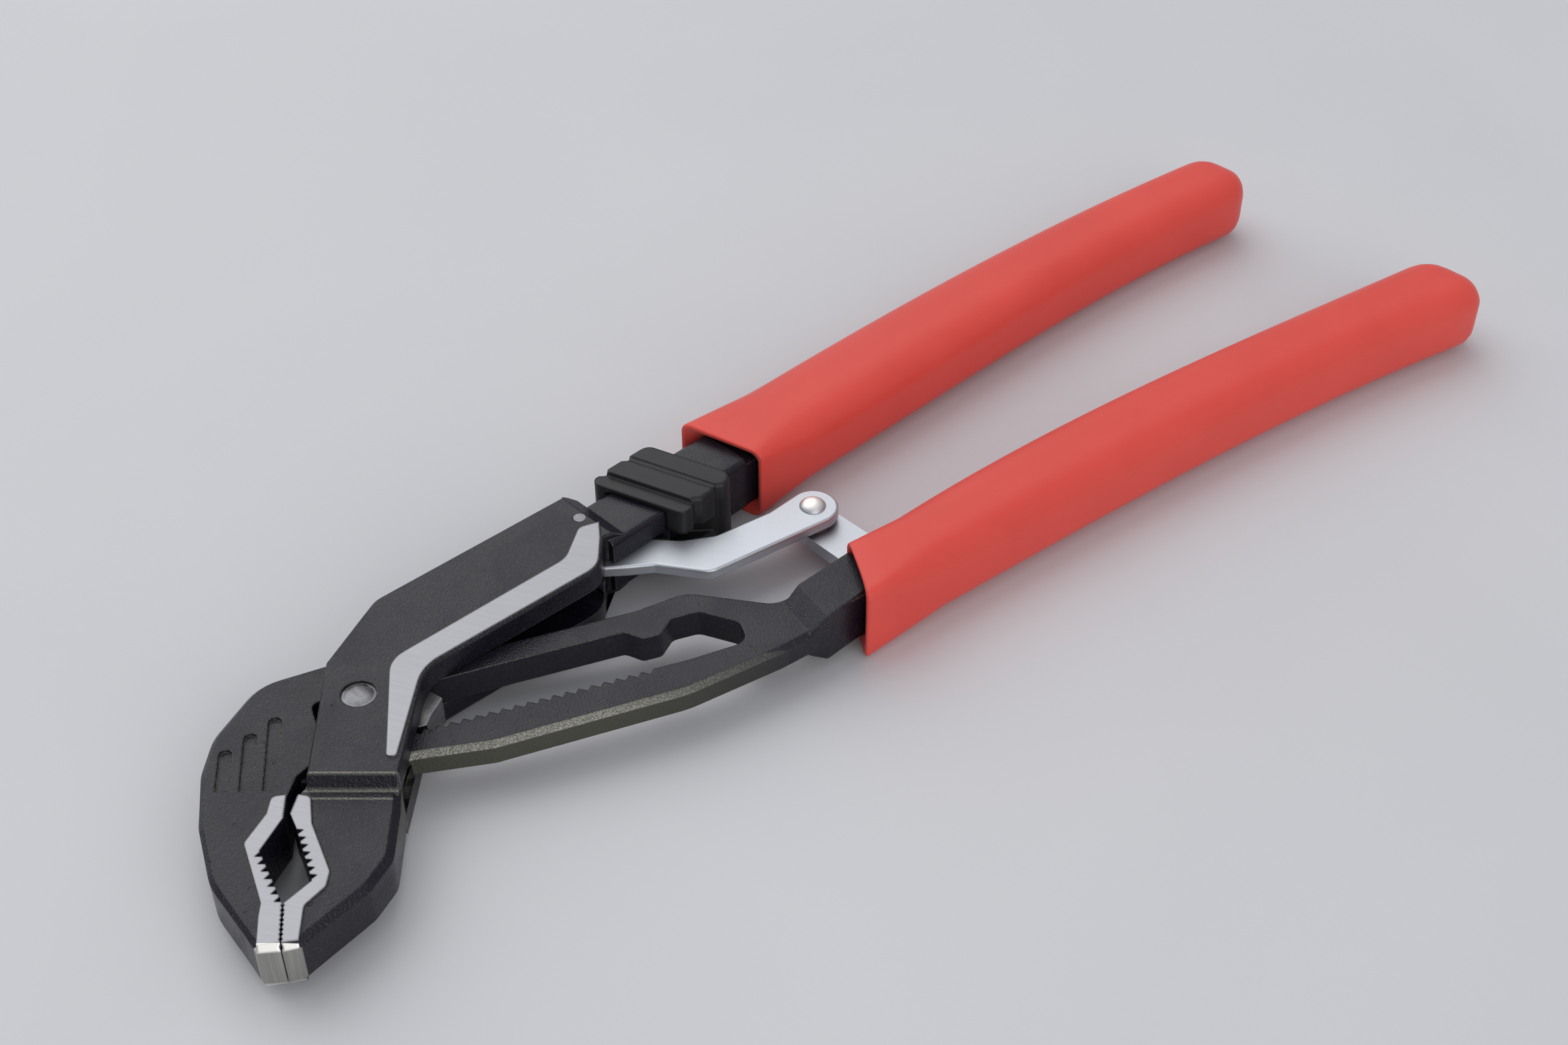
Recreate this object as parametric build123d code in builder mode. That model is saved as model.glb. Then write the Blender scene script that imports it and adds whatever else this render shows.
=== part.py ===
from build123d import *
from math import atan2, cos, degrees, radians, sin
import os

os.makedirs("parts", exist_ok=True)

# ------------------------------------------------------------------ driving sizes, mm
# X runs from the jaws to the handle ends, Z is up, the pivot bolt stands on the origin.
mid_z = 7.2                  # every plate is symmetric about this height
joint_thick = 13.2           # across the two black cheeks of the box joint
land_rise = 0.3              # ground lands stand proud of the black faces
jaw_thick = 8.4              # across the black faces of the jaws
arm_thick = 5.0              # slotted arm that runs between the cheeks
run_gap = 0.15               # running clearance of every sliding face
shank_thick = 10.8           # guide shank under the slider
lower_shank_thick = 9.6      # shank of the lower lever, in front of its grip
core_thick = 8.8             # steel core inside the grips
grip_thick = 14.4
link_thick = 2.2
washer_thick = 0.7
lug_thick = 2.4

bolt_r = 2.7                 # pivot bolt
bolt_head_r = 4.2            # its flat head under the lower cheek
anchor_r = 1.0               # small pin that carries the link in the upper lever
link_rivet_r = 1.6           # rivet that carries the link on the lug
link_rivet_head_r = 2.25
lug_rivet_r = 1.3
pin_gap = 0.06               # running fit of the link on its pins, all round
anchor = Vector(49.6, 6.9)   # axis of the small pin
link_end = Vector(83.2, -13.5)  # axis of the link rivet
lug_rivets = [(80.7, -32.4), (85.2, -33.0)]

slot_angle = -24.5           # slot of the lower lever, degrees
slot_start, slot_end = -7.0, 59.9
slot_top, slot_floor = 2.8, -6.5
rack_pitch = 2.0
rack_depth = 0.9
rack_count = 24
jaw_teeth = 7
jaw_tooth_depth = 0.95
fine_teeth = 9               # serrations in the throat and along the nose
fine_depth = 0.2
groove_width = 2.0           # three grooves on each face of the lower head
groove_depth = 0.5
groove_angle = 51.5
nose_bevel, nose_drop = 0.8, 1.25
ledge_reach = 24.4           # the ledge on the upper jaw lies along x + y = -ledge_reach

shank_low, shank_high = -0.8, 9.6
shank_round = 1.0            # rounding along the guide shank
slider_front = 62.4          # near corner of the slider's front, along X
slider_len = 13.0            # along its near side
slider_travel = 5.5          # towards the upper grip
slider_low, slider_high = -4.2, 12.7
slider_skew = 5.6            # the far side stands this much further forward
lip_len = 3.1                # the front rib
lip_drop = 0.8               # the front rib is this much lower than the others
rib_deep = 0.9               # the valleys down both sides
rib_flank = 1.0              # half the width of a valley
rib_line = 0.25              # the shallow line across the top and bottom

jaw_reach = 37.6             # from the pivot bolt to the nose of the jaws, along X
handle_reach = 213.0         # from the pivot bolt to the end of the upper grip, along X
grip_wall = 3.1              # grip wall beside the steel core
grip_wall_end = 12.0         # grip beyond the end of the steel core
grip_round = 3.0             # rounding along the edges of the grips

# ------------------------------------------------------------------ derived sizes
joint_half = joint_thick / 2
land_half = joint_half + land_rise
jaw_half = jaw_thick / 2
jaw_land_half = jaw_half + land_rise
arm_half = arm_thick / 2
channel_half = arm_half + run_gap
shank_half = shank_thick / 2
lower_shank_half = lower_shank_thick / 2
core_half = core_thick / 2
grip_half = grip_thick / 2
link_half = link_thick / 2
link_gap_half = link_half + run_gap
lug_top = mid_z - link_half - washer_thick
lug_bottom = lug_top - lug_thick
slider_rear = slider_front + slider_len
slider_valleys = [slider_front + lip_len, slider_rear - (slider_len - lip_len) / 2]
grip_front = slider_rear + slider_travel + 0.5   # front of the upper grip, beside the slider
shank_end = grip_front - 1.4

mid = Plane.XY.offset(mid_z)
slot_x = Vector(cos(radians(slot_angle)), sin(radians(slot_angle)), 0)
slot_plane = Plane(origin=(0, 0, mid_z), x_dir=slot_x, z_dir=(0, 0, 1))

# where the two jaws meet at the front, and the upright plane square to the front face
nose_point = Vector(2.6 - jaw_reach, -29.1)
nose_out = Vector(-0.583, -0.813, 0)
nose_profile = Plane(
    origin=(nose_point.X, nose_point.Y, mid_z), x_dir=nose_out, z_dir=(nose_out.Y, -nose_out.X, 0),
)


def at(shapes, points):
    """The shape nearest to each point, for picking corners and edges by place."""
    found = []
    for p in points:
        spot = Vector(*p)
        nearest = min(shapes, key=lambda s: (s.center() - spot).length)
        found.append(nearest)
    return found


def to_ledge(start, toward):
    """The point where a line from start toward another point reaches the ledge."""
    run = Vector(*toward) - Vector(*start)
    reached = Vector(*start) - run * ((ledge_reach + sum(start)) / (run.X + run.Y))
    return (reached.X, reached.Y)


def handle_outline(stations, trim=0.0):
    """Closed outline of a handle from four (x, y, width) stations, each side in two tangent arcs."""
    sides = []
    for side in (1, -1):
        points = [(x, y + side * (width / 2 - trim)) for x, y, width in stations]
        front = ThreePointArc(*points[:3])
        rear = TangentArc(front @ 1, points[3], tangent=front % 1)
        sides.append((front, rear))
    Line(sides[0][0] @ 0, sides[1][0] @ 0)
    Line(sides[0][1] @ 1, sides[1][1] @ 1)
    return [tuple(rear @ 1) for front, rear in sides]


def cut_teeth(start, end, count, depth):
    """Cuts count tooth gaps through both jaw faces, into the steel on the left of start to end."""
    run = Vector(*end) - Vector(*start)
    pitch = run.length / count
    spots = []
    for i in range(count):
        p = Vector(*start) + run * ((i + 0.5) / count)
        spots.append(Location((p.X, p.Y, 0), degrees(atan2(run.Y, run.X))))
    with BuildSketch(mid) as gaps:
        with Locations(*spots):
            Polygon((-pitch / 2, -depth / 2), (0, depth), (pitch / 2, -depth / 2), align=None)
    extrude(gaps.sketch, amount=jaw_land_half + 1, both=True, mode=Mode.SUBTRACT)


def bevel_nose():
    """Bevels the nose of a jaw along the top and bottom of its front face."""
    with BuildSketch(nose_profile) as wedges:
        with BuildLine():
            Polyline(
                (-nose_bevel, jaw_land_half), (0, jaw_land_half - nose_drop), (2, jaw_land_half - nose_drop),
                (2, jaw_land_half + 1), (-nose_bevel, jaw_land_half + 1), close=True,
            )
        make_face()
        mirror(about=Plane.XZ)
    extrude(wedges.sketch, amount=12, both=True, mode=Mode.SUBTRACT)


# ------------------------------------------------------------------ shared outlines
# upper lever handle and lower lever handle: centre line stations (x, y, grip width)
upper_run = [(74, 4.9, 16.0), (112, 4.3, 17.0), (150, 3.0, 16.0), (handle_reach, -3.9, 14.2)]
lower_run = [(66, -33.8, 11.6), (100, -36.3, 15.0), (140, -41.5, 15.6), (handle_reach + 1, -56.8, 16.2)]

# mouth corners, upper jaw side then lower lever side
upper_mouth = [(-17.5, -8.4), (-20.2, -10.4), (-21.2, -13.3), (-25.3, -22.7), (-30.4, -23.2)]
lower_mouth = [(-18.5, -7.2), (-21.3, -10.4), (-27.3, -13.1), (-30.5, -23.1)]
lower_nose = (nose_point.X - 0.1, nose_point.Y + 0.12)

# ================================================================== UPPER LEVER
with BuildPart() as upper_lever:
    # box joint cheeks and arm
    with BuildSketch(mid) as cheek:
        with BuildLine():
            Polyline(
                (0.6, 8.9), to_ledge((0.6, 8.9), (-15.5, -8.2)), to_ledge((10.3, -2.75), (-6.2, -17.5)),
                (10.3, -2.75), (44.0, -4.65), (49.4, 0.6), (53.0, -0.4), (53.0, 11.4), (51.7, 12.8),
                (14.2, 14.8), close=True,
            )
        make_face()
        fillet(at(cheek.vertices(), [(0.6, 8.9), (51.7, 12.8)]), 1.2)
        fillet(at(cheek.vertices(), [(10.3, -2.75)]), 8.4)
        fillet(at(cheek.vertices(), [(44.0, -4.65)]), 5.0)
        fillet(at(cheek.vertices(), [(14.2, 14.8)]), 5.0)
    extrude(amount=joint_half, both=True)
    # the cheeks run down to the guide shank over a short ramp
    ramp_edges = upper_lever.edges().filter_by(Axis.Y, tolerance=1)
    ramp_edges = [e for e in ramp_edges if abs(e.center().X - 53) < 0.1]
    chamfer(ramp_edges, length=joint_half - shank_half, length2=2.2)
    rim = upper_lever.faces().filter_by(Axis.Z)
    rim_edges = [e for f in rim for e in f.edges() if e.center().X < 50.5]
    rim_edges = [e for e in rim_edges if abs(e.center().X + e.center().Y + ledge_reach) > 0.3]
    chamfer(rim_edges, 0.3)
    # sloped ledge between the cheeks and the jaw
    ledge_dir = Vector(-1, -1, 0).normalized()
    ledge_foot = (1 - ledge_reach / 2, -1 - ledge_reach / 2, mid_z)
    ledge_plane = Plane(origin=ledge_foot, x_dir=ledge_dir, z_dir=(1, -1, 0))
    with BuildSketch(ledge_plane):
        with BuildLine():
            Polyline(
                (-1.4, joint_half + 1), (-1.3, joint_half), (0, jaw_half), (3, jaw_half),
                (3, joint_half + 1), close=True,
            )
        make_face()
        mirror(about=Plane.XZ)
    extrude(amount=20, both=True, mode=Mode.SUBTRACT)
    # jaw
    with BuildSketch(mid) as upper_jaw:
        with BuildLine():
            Polyline(
                (-14.2, -7.0), (-16.0, -8.0), *upper_mouth, (nose_point.X, nose_point.Y),
                (-33.0, -30.3), (-29.6, -30.0), (-20.2, -29.1), (-14.6, -27.0), (-8.3, -20.4),
                (-5.2, -16.5), (-9.0, -8.0), close=True,
            )
        make_face()
        fillet(at(upper_jaw.vertices(), [(-20.2, -29.1), (-14.6, -27.0)]), 5.0)
    extrude(amount=jaw_half, both=True)
    outer_rim = upper_lever.edges().filter_by(Plane.XY)
    outer_rim = [e for e in outer_rim if abs(abs(e.center().Z - mid_z) - jaw_half) < 0.01]
    outer_rim = [e for e in outer_rim if e.center().X * -0.777 + e.center().Y * 0.629 < -3.2]
    outer_rim = [e for e in outer_rim if -33.5 < e.center().X < -6 and e.center().Y < -18.5]
    chamfer(outer_rim, 1.1)
    # ground lands: stripe along the cheek and band along the mouth
    with BuildSketch(mid) as stripe:
        with BuildLine():
            Polyline(
                (-4.9, -13.2), (7.6, 2.25), (41.4, 0.75), (47.8, 4.9), (51.0, 3.6), (48.6, 0.6),
                (43.9, -4.2), (10.2, -2.3), (-3.8, -14.2), close=True,
            )
        make_face()
        fillet(at(stripe.vertices(), [(7.6, 2.25)]), 5.0)
        fillet(at(stripe.vertices(), [(10.2, -2.3)]), 8.0)
        fillet(at(stripe.vertices(), [(41.4, 0.75), (43.9, -4.2)]), 4.5)
        fillet(at(stripe.vertices(), [(47.8, 4.9)]), 1.6)
        fillet(at(stripe.vertices(), [(-4.9, -13.2), (-3.8, -14.2)]), 0.6)
    extrude(amount=land_half, both=True)
    with BuildSketch(mid) as upper_land:
        with BuildLine():
            Polyline(
                *upper_mouth, (nose_point.X, nose_point.Y), (-33.0, -30.3), (-28.6, -25.5),
                (-24.5, -24.9), (-22.5, -23.1), (-19.1, -14.2), (-16.2, -9.9), (-17.2, -8.4), close=True,
            )
        make_face()
        fillet(at(upper_land.vertices(), [(-24.5, -24.9), (-22.5, -23.1), (-28.6, -25.5)]), 1.2)
        fillet(at(upper_land.vertices(), [(-16.2, -9.9)]), 0.8)
    extrude(amount=jaw_land_half, both=True)
    # guide shank and steel core of the handle
    shank_mid = (shank_low + shank_high) / 2
    with BuildSketch(Plane(origin=(50, shank_mid, mid_z), x_dir=(0, 1, 0), z_dir=(1, 0, 0))):
        RectangleRounded(shank_high - shank_low, shank_thick, shank_round)
    extrude(amount=shank_end - 50)
    with BuildSketch(mid):
        core_run = list(upper_run)
        core_run[0] = (shank_end - 1, shank_mid, shank_high - shank_low + 2 * grip_wall)
        core_run[-1] = (handle_reach - grip_wall_end, upper_run[-1][1] + 2.1, upper_run[-1][2])
        with BuildLine():
            handle_outline(core_run, trim=grip_wall)
        make_face()
    extrude(amount=core_half, both=True)
    # channel for the slotted arm, then the narrow channel for the link
    with BuildSketch(mid) as channel:
        with BuildLine():
            Polyline(
                (-20, -2.2), (0, -22.2), (46.0, -22.2), (46.0, 8.2), (10.0, 9.2), (4.0, 14.5),
                (-20, 14.5), close=True,
            )
        make_face()
        fillet(at(channel.vertices(), [(10.0, 9.2), (46.0, 8.2)]), 3.0)
    extrude(amount=channel_half, both=True, mode=Mode.SUBTRACT)
    with BuildSketch(mid) as link_way:
        with BuildLine():
            Polyline((44, -6), (44, 11.2), (53.6, 11.2), (57.0, 6.0), (63.0, -2.0), (63.0, -6), close=True)
        make_face()
        fillet(at(link_way.vertices(), [(53.6, 11.2), (44, 11.2)]), 2.0)
    extrude(amount=link_gap_half, both=True, mode=Mode.SUBTRACT)
    # mouth teeth, and the serrations in the throat and along the nose
    cut_teeth(upper_mouth[2], upper_mouth[3], jaw_teeth, jaw_tooth_depth)
    cut_teeth(upper_mouth[0], upper_mouth[1], fine_teeth, fine_depth)
    cut_teeth(upper_mouth[4], tuple(nose_point)[:2], fine_teeth, fine_depth)
    bevel_nose()
    # bores for the pivot bolt and the small pin
    with BuildSketch(mid):
        Circle(bolt_r)
        with Locations((anchor.X, anchor.Y)):
            Circle(anchor_r)
    extrude(amount=joint_half + 1, both=True, mode=Mode.SUBTRACT)
upper_lever.part.label = "upper_lever"
export_step(upper_lever.part, "parts/upper_lever.step")

# ================================================================== LOWER LEVER
with BuildPart() as lower_lever:
    # thick jaw head
    with BuildSketch(mid) as head:
        with BuildLine():
            Polyline(
                (2.0, 10.8), (-12.65, -4.65), (-15.3, -5.0), *lower_mouth,
                lower_nose, (-jaw_reach, -27.0), (-36.9, -22.5),
                (-35.6, -12.8), (-30.8, -2.9), (-24.8, 5.5), (-19.4, 10.3), (-8.3, 14.7), close=True,
            )
        make_face()
        fillet(at(head.vertices(), [(-8.3, 14.7)]), 8.0)
        fillet(at(head.vertices(), [(-24.8, 5.5), (-19.4, 10.3), (-30.8, -2.9)]), 9.0)
        fillet(at(head.vertices(), [(-35.6, -12.8)]), 12.0)
        fillet(at(head.vertices(), [(-12.65, -4.65)]), 0.8)
    extrude(amount=jaw_half, both=True)
    head_rim = lower_lever.edges().filter_by(Plane.XY)
    head_rim = [e for e in head_rim if e.center().X * -0.777 + e.center().Y * 0.629 > 12.2]
    head_rim = [e for e in head_rim if e.center().Y > -26.5]
    chamfer(head_rim, 0.8)
    # ground band along the mouth
    with BuildSketch(mid) as lower_land:
        with BuildLine():
            Polyline(
                *lower_mouth, lower_nose, (-jaw_reach, -27.0), (-34.2, -22.7),
                (-32.6, -21.0), (-28.1, -10.4), (-22.6, -8.1), (-20.2, -5.9), close=True,
            )
        make_face()
        land_corners = [(-34.2, -22.7), (-32.6, -21.0), (-28.1, -10.4), (-22.6, -8.1)]
        fillet(at(lower_land.vertices(), land_corners), 1.4)
        fillet(at(lower_land.vertices(), [(-20.2, -5.9)]), 1.0)
    extrude(amount=jaw_land_half, both=True)
    # slotted arm
    with BuildSketch(mid) as arm:
        with BuildLine():
            Polyline(
                (-9.0, 10.0), (0.6, 10.1), (5.5, 6.9), (13.0, 1.4), (27.0, -5.1), (44.0, -12.7),
                (52.4, -15.2), (61.0, -27.6), (76.0, -28.0), (76.0, -36.2), (63.5, -36.6), (54.5, -35.3),
                (38.0, -31.4), (10.0, -19.1), (0.0, -12.4), (-12.0, -7.2), (-14.5, -5.4), (-18.0, 2.0),
                close=True,
            )
        make_face()
        fillet(at(arm.vertices(), [(5.5, 6.9)]), 4.0)
        fillet(at(arm.vertices(), [(13.0, 1.4), (27.0, -5.1)]), 14.0)
        fillet(at(arm.vertices(), [(52.4, -15.2)]), 6.0)
        fillet(at(arm.vertices(), [(61.0, -27.6)]), 4.5)
        fillet(at(arm.vertices(), [(54.5, -35.3), (38.0, -31.4)]), 16.0)
        fillet(at(arm.vertices(), [(0.0, -12.4), (10.0, -19.1)]), 5.0)
    extrude(amount=arm_half, both=True)
    # worn bevel along the outer edge of the arm
    bevel = lower_lever.edges().filter_by(Plane.XY)
    bevel = [e for e in bevel if abs(abs(e.center().Z - mid_z) - arm_half) < 0.01]
    bevel = [e for e in bevel if slot_plane.to_local_coords(e.center()).Y < -9 and 3 < e.center().X < 70]
    chamfer(bevel, 0.9)
    # thick shank with a sloped facet, and the steel core of the handle
    with BuildSketch(mid) as shank:
        with BuildLine():
            Polyline((60.0, -35.6), (61.6, -28.2), (76, -28.6), (76, -36.6), (63.5, -36.6), close=True)
        make_face()
    extrude(amount=lower_shank_half, both=True)
    facet_plane = Plane(origin=(60.8, -31.9, mid_z), x_dir=(0.977, -0.211, 0), z_dir=(-0.211, -0.977, 0))
    with BuildSketch(facet_plane):
        with BuildLine():
            Polyline(
                (-2, arm_half), (0, arm_half), (3.2, lower_shank_half), (3.2, shank_half), (-2, shank_half),
                close=True,
            )
        make_face()
        mirror(about=Plane.XZ)
    extrude(amount=12, both=True, mode=Mode.SUBTRACT)
    with BuildSketch(mid):
        core_run = list(lower_run)
        core_run[0] = (lower_run[0][0], lower_run[0][1] + 1.4, 8.2 + 2 * grip_wall)
        core_run[-1] = (handle_reach + 1 - grip_wall_end, lower_run[-1][1] + 3.0, lower_run[-1][2])
        with BuildLine():
            handle_outline(core_run, trim=grip_wall)
        make_face()
    extrude(amount=core_half, both=True)
    # slot: smooth upper edge with a bump, toothed lower edge
    with BuildSketch(slot_plane) as slot:
        with BuildLine():
            Polyline(
                (slot_start, slot_top), (42.2, slot_top), (44.4, 0.4), (47.5, 0.4), (50.2, slot_top + 0.4),
                (54.6, slot_top + 0.4), (slot_end, -1.4), (slot_end - 0.2, slot_floor + 0.6),
                (50.0, slot_floor), (slot_start, slot_floor), close=True,
            )
        make_face()
        fillet(at(slot.vertices(), [(slot_start, slot_top), (slot_start, slot_floor)]), 1.2)
        fillet(at(slot.vertices(), [(42.2, slot_top), (50.2, slot_top + 0.4)]), 1.6)
        fillet(at(slot.vertices(), [(44.4, 0.4), (47.5, 0.4)]), 1.3)
        slot_rear = [(54.6, slot_top + 0.4), (slot_end, -1.4), (slot_end - 0.2, slot_floor + 0.6)]
        fillet(at(slot.vertices(), slot_rear), 2.2)
    extrude(amount=shank_half + 1, both=True, mode=Mode.SUBTRACT)
    rack = [(slot_start + 4 + i * rack_pitch, slot_floor) for i in range(rack_count)]
    with BuildSketch(slot_plane):
        with Locations(*rack):
            Polygon(
                (-rack_pitch / 2, 0.3), (-rack_pitch / 2, 0), (0.25, -rack_depth), (rack_pitch / 2, 0),
                (rack_pitch / 2, 0.3), align=None,
            )
    extrude(amount=arm_half + 1, both=True, mode=Mode.SUBTRACT)
    # mouth teeth, and the serrations in the throat and along the nose
    cut_teeth(lower_mouth[3], lower_mouth[2], jaw_teeth, jaw_tooth_depth)
    cut_teeth(lower_mouth[1], lower_mouth[0], fine_teeth, fine_depth)
    cut_teeth(lower_nose, lower_mouth[3], fine_teeth, fine_depth)
    bevel_nose()
    # three shallow grooves on both faces of the head, flat at the ledge and round at the far end
    for side in (1, -1):
        with BuildSketch(Plane.XY.offset(mid_z + side * jaw_half)):
            for i in range(3):
                groove_length = 7.2 + 3.25 * i
                with Locations(Location((-24.7 + 2.5 * i, 0.2 - 2.4 * i, 0), groove_angle)):
                    Rectangle(groove_length, groove_width, align=(Align.MIN, Align.CENTER))
                    with Locations((groove_length, 0)):
                        Circle(groove_width / 2)
        extrude(amount=-side * groove_depth, mode=Mode.SUBTRACT)
    # seat for the lug under the core, with its two rivet holes
    with BuildSketch(Plane.XY.offset(lug_top)):
        with Locations((82.95, -33.5)):
            Rectangle(9.2, 12)
    extrude(amount=-10, mode=Mode.SUBTRACT)
    with BuildSketch(mid):
        with Locations(*lug_rivets):
            Circle(lug_rivet_r)
    extrude(amount=shank_half, both=True, mode=Mode.SUBTRACT)
lower_lever.part.label = "lower_lever"
export_step(lower_lever.part, "parts/lower_lever.step")

# ================================================================== PIVOT BOLT
with BuildPart() as pivot_bolt:
    with BuildSketch(Plane.XZ):
        with BuildLine():
            top = mid_z + joint_half - 0.35
            seat = mid_z - joint_half
            Line((0, 0), (0, top + 0.5))
            ThreePointArc((0, top + 0.5), (1.3, top + 0.36), (bolt_r - 0.35, top))
            Line((bolt_r - 0.35, top), (bolt_r, top))
            Line((bolt_r, top), (bolt_r, seat))
            Line((bolt_r, seat), (bolt_head_r, seat))
            Line((bolt_head_r, seat), (bolt_head_r - 0.4, 0))
            Line((bolt_head_r - 0.4, 0), (0, 0))
        make_face()
    revolve(axis=Axis.Z)
pivot_bolt.part.label = "pivot_bolt"
export_step(pivot_bolt.part, "parts/pivot_bolt.step")

# ================================================================== PAWL
pawl_tip = slot_floor + 0.7
with BuildPart() as pawl:
    with BuildSketch(slot_plane) as pawl_outline:
        with BuildLine():
            Polyline(
                (-5.2, pawl_tip + 0.2), (-4.2, -0.4), (3.6, -0.4), (6.2, 1.4), (10.4, 1.4), (12.2, -1.2),
                (9.6, -4.2), (8.6, pawl_tip), (-4.6, pawl_tip), close=True,
            )
        make_face()
        fillet(at(pawl_outline.vertices(), [(-4.2, -0.4), (6.2, 1.4), (10.4, 1.4), (12.2, -1.2)]), 0.5)
        Circle(bolt_r + 0.08, mode=Mode.SUBTRACT)
    extrude(amount=arm_half - 0.05, both=True)
    pawl_rack = [(-3.6 + i * rack_pitch, pawl_tip) for i in range(6)]
    with BuildSketch(slot_plane):
        with Locations(*pawl_rack):
            Polygon((-rack_pitch / 2, -0.3), (0.25, rack_depth - 0.1), (rack_pitch / 2, -0.3), align=None)
    extrude(amount=arm_half, both=True, mode=Mode.SUBTRACT)
pawl.part.label = "pawl"
export_step(pawl.part, "parts/pawl.step")

# ================================================================== LINK AND ITS PINS
with BuildPart() as anchor_pin:
    with BuildSketch(mid):
        with Locations((anchor.X, anchor.Y)):
            Circle(anchor_r)
    extrude(amount=joint_half, both=True)
anchor_pin.part.label = "anchor_pin"
export_step(anchor_pin.part, "parts/anchor_pin.step")

# the link and its lug both end round the link rivet
link_corners = [(link_end.X + 4.3, link_end.Y - 5.2), (link_end.X + 4.2, link_end.Y + 4.1)]
lug_corners = [
    (link_end.X - 3.9, link_end.Y - 2.5), (link_end.X - 2.2, link_end.Y + 3.9),
    (link_end.X + 2.2, link_end.Y + 3.9), (link_end.X + 4.0, link_end.Y + 0.5),
]
with BuildPart() as push_link:
    with BuildSketch(mid) as link_outline:
        with BuildLine():
            Polyline(
                (45.9, 8.2), (46.2, 1.2), (51.0, -2.9), (54.6, -5.6), (59.8, -13.3), (66.0, -14.6),
                *link_corners, (76.8, -9.4), (66.6, -7.3), (61.8, -4.2), (53.6, 5.4), (52.4, 10.6),
                (47.2, 10.6), close=True,
            )
        make_face()
        fillet(at(link_outline.vertices(), [(59.8, -13.3), (66.6, -7.3), (61.8, -4.2)]), 3.5)
        fillet(at(link_outline.vertices(), [(46.2, 1.2), (45.9, 8.2), (52.4, 10.6), (47.2, 10.6)]), 1.9)
        fillet(at(link_outline.vertices(), [(54.6, -5.6), (51.0, -2.9)]), 2.2)
        fillet(at(link_outline.vertices(), link_corners), 4.1)
        with Locations((anchor.X, anchor.Y)):
            Circle(anchor_r + pin_gap, mode=Mode.SUBTRACT)
        with Locations((link_end.X, link_end.Y)):
            Circle(link_rivet_r + pin_gap, mode=Mode.SUBTRACT)
    extrude(amount=link_half, both=True)
    link_rim = push_link.edges().filter_by(Plane.XY)
    link_rim = [e for e in link_rim if e.geom_type != GeomType.CIRCLE or e.radius > 1.8]
    chamfer(link_rim, 0.3)
push_link.part.label = "push_link"
export_step(push_link.part, "parts/push_link.step")

with BuildPart() as link_washer:
    with BuildSketch(Plane.XY.offset(lug_top)):
        with Locations((link_end.X, link_end.Y)):
            Circle(3.4)
            Circle(link_rivet_r, mode=Mode.SUBTRACT)
    extrude(amount=washer_thick - 0.05)
link_washer.part.label = "link_washer"
export_step(link_washer.part, "parts/link_washer.step")

with BuildPart() as link_lug:
    with BuildSketch(Plane.XY.offset(lug_bottom)) as lug_outline:
        with BuildLine():
            Polyline(
                *lug_corners, (link_end.X + 4.0, -36.5), (link_end.X - 4.5, -36.5), close=True,
            )
        make_face()
        fillet(at(lug_outline.vertices(), lug_corners), 2.0)
        with Locations((link_end.X, link_end.Y)):
            Circle(link_rivet_r, mode=Mode.SUBTRACT)
        with Locations(*lug_rivets):
            Circle(lug_rivet_r, mode=Mode.SUBTRACT)
    extrude(amount=lug_thick)
link_lug.part.label = "link_lug"
export_step(link_lug.part, "parts/link_lug.step")

with BuildPart() as link_rivet:
    link_top = mid_z + link_half + 0.05
    with BuildSketch(Plane(origin=(link_end.X, link_end.Y, 0), x_dir=(1, 0, 0), z_dir=(0, -1, 0))):
        with BuildLine():
            Line((0, lug_bottom - 0.9), (0, link_top + 1.0))
            ThreePointArc((0, link_top + 1.0), (1.5, link_top + 0.72), (link_rivet_head_r, link_top))
            Line((link_rivet_head_r, link_top), (link_rivet_r, link_top))
            Line((link_rivet_r, link_top), (link_rivet_r, lug_bottom))
            Line((link_rivet_r, lug_bottom), (2.4, lug_bottom))
            Line((2.4, lug_bottom), (2.1, lug_bottom - 0.9))
            Line((2.1, lug_bottom - 0.9), (0, lug_bottom - 0.9))
        make_face()
    revolve(axis=Axis((link_end.X, link_end.Y, 0), (0, 0, 1)))
link_rivet.part.label = "link_rivet"
export_step(link_rivet.part, "parts/link_rivet.step")

lug_rivet_parts = []
for name, spot in zip(("lug_rivet_front", "lug_rivet_rear"), lug_rivets):
    with BuildPart() as lug_rivet:
        with BuildSketch(Plane.XY.offset(lug_bottom)):
            with Locations(spot):
                Circle(lug_rivet_r)
        extrude(amount=mid_z + core_half - lug_bottom)
    lug_rivet.part.label = name
    export_step(lug_rivet.part, f"parts/{name}.step")
    lug_rivet_parts.append(lug_rivet.part)

# ================================================================== LOCK SLIDER
def slanted(x, y):
    """The point that x along the slider's near side is carried to at y, by the slant of the slider."""
    return (x - slider_skew * (y - slider_low) / (slider_high - slider_low), y)


def side_points(y, inward):
    """One side of the slider from front to rear, with a valley between each two ribs."""
    points = [slanted(slider_front, y)]
    for valley in slider_valleys:
        x = slanted(valley, y)[0]
        points += [(x - rib_flank, y), (x, y + inward * rib_deep), (x + rib_flank, y)]
    return points + [slanted(slider_rear, y)]


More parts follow.
